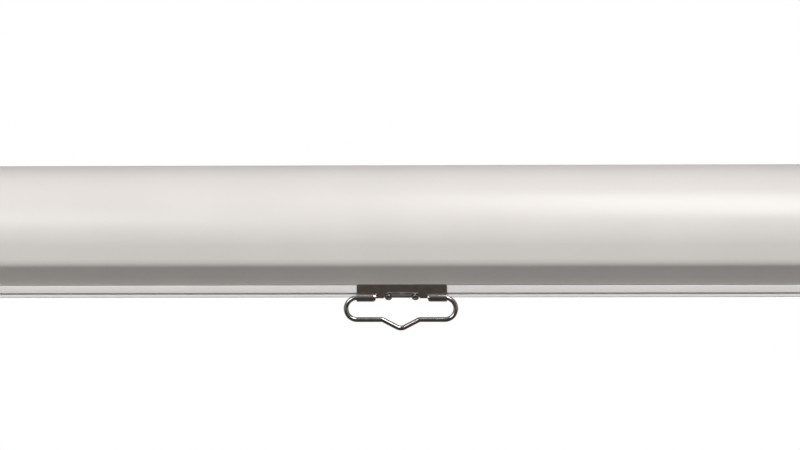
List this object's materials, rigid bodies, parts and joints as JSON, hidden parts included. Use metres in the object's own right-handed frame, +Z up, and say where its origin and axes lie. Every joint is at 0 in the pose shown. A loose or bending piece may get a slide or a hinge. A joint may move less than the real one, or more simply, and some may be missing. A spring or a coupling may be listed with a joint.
{
  "type": "pull-down projector screen",
  "caption": "Wall-mounted pull-down projector screen: a long closed case with a spring roller, a bottom slat and a swinging wire pull handle.",
  "frame": {"origin": "middle of the flat back of the case, which lies on the wall", "axes": "+X along the case to the right as seen from the front, +Y into the wall, +Z up; the picture side faces -Y"},
  "size_m": [1.4252, 0.0802, 0.1121],
  "materials": {
    "case_paint": "satin warm grey paint",
    "slat_paint": "satin light grey paint",
    "cap_plastic": "fine moulded texture",
    "bracket_steel": "satin warm grey paint",
    "zinc_steel": "bright zinc plate",
    "tube_steel": "plain rolled steel",
    "spring_steel": "oiled spring steel",
    "plug_plastic": "moulded",
    "bush_plastic": "natural moulded",
    "screen_fabric": "matte white coated glass cloth with a black border",
    "nickel": "bright nickel plate"
  },
  "bodies": {
    "case": {"case_housing": "case_paint", "end_cap_left": "cap_plastic", "end_cap_right": "cap_plastic", "mount_bracket_left": "bracket_steel", "mount_bracket_right": "bracket_steel", "cap_screw_left_upper": "zinc_steel", "cap_screw_left_lower": "zinc_steel", "cap_screw_right_upper": "zinc_steel", "cap_screw_right_lower": "zinc_steel", "idle_bush": "bush_plastic", "spring_shaft": "zinc_steel", "ratchet_hub": "zinc_steel", "spring_collar": "plug_plastic", "torsion_spring": "spring_steel"},
    "roller": {"roller_tube": "tube_steel", "roller_head_plug": "plug_plastic", "idle_plug": "plug_plastic", "idle_pin": "zinc_steel", "spring_anchor_plug": "plug_plastic", "screen_roll": "screen_fabric"},
    "pawl_upper": {"pawl_upper": "zinc_steel"},
    "pawl_lower": {"pawl_lower": "zinc_steel"},
    "slat": {"slat": "slat_paint", "slat_cap_left": "cap_plastic", "slat_cap_right": "cap_plastic", "hem_rod": "bush_plastic", "screen_drop": "screen_fabric", "handle_bracket": "nickel", "handle_rivet_left": "nickel", "handle_rivet_right": "nickel"},
    "bail": {"bail_handle": "nickel"}
  },
  "joints": [
    {"name": "slat_drop", "type": "slide", "parent": "case", "child": "slat", "axis": [0, 0, -1], "range_m": [0, 1.33], "stiffness_N_per_m": 8, "springref_m": -1.75, "deforming": ["screen_drop"]},
    {"name": "roller_spin", "type": "hinge", "parent": "case", "child": "roller", "pos_m": [0, -0.034, 0.002], "axis": [1, 0, 0], "range_deg": [0, 3600]},
    {"name": "pawl_upper_swing", "type": "hinge", "parent": "roller", "child": "pawl_upper", "pos_m": [-0.6699, -0.034, 0.016], "axis": [-1, 0, 0], "range_deg": [0, 17.2]},
    {"name": "pawl_lower_swing", "type": "hinge", "parent": "roller", "child": "pawl_lower", "pos_m": [-0.6699, -0.034, -0.012], "axis": [-1, 0, 0], "range_deg": [0, 17.2]},
    {"name": "bail_swing", "type": "hinge", "parent": "slat", "child": "bail", "pos_m": [0, -0.0678, -0.04935], "axis": [-1, 0, 0], "range_deg": [-55, 150]}
  ],
  "couplings": [
    {"joint": "roller_spin", "follows": "slat_drop", "rad_per_m": 47.242}
  ]
}
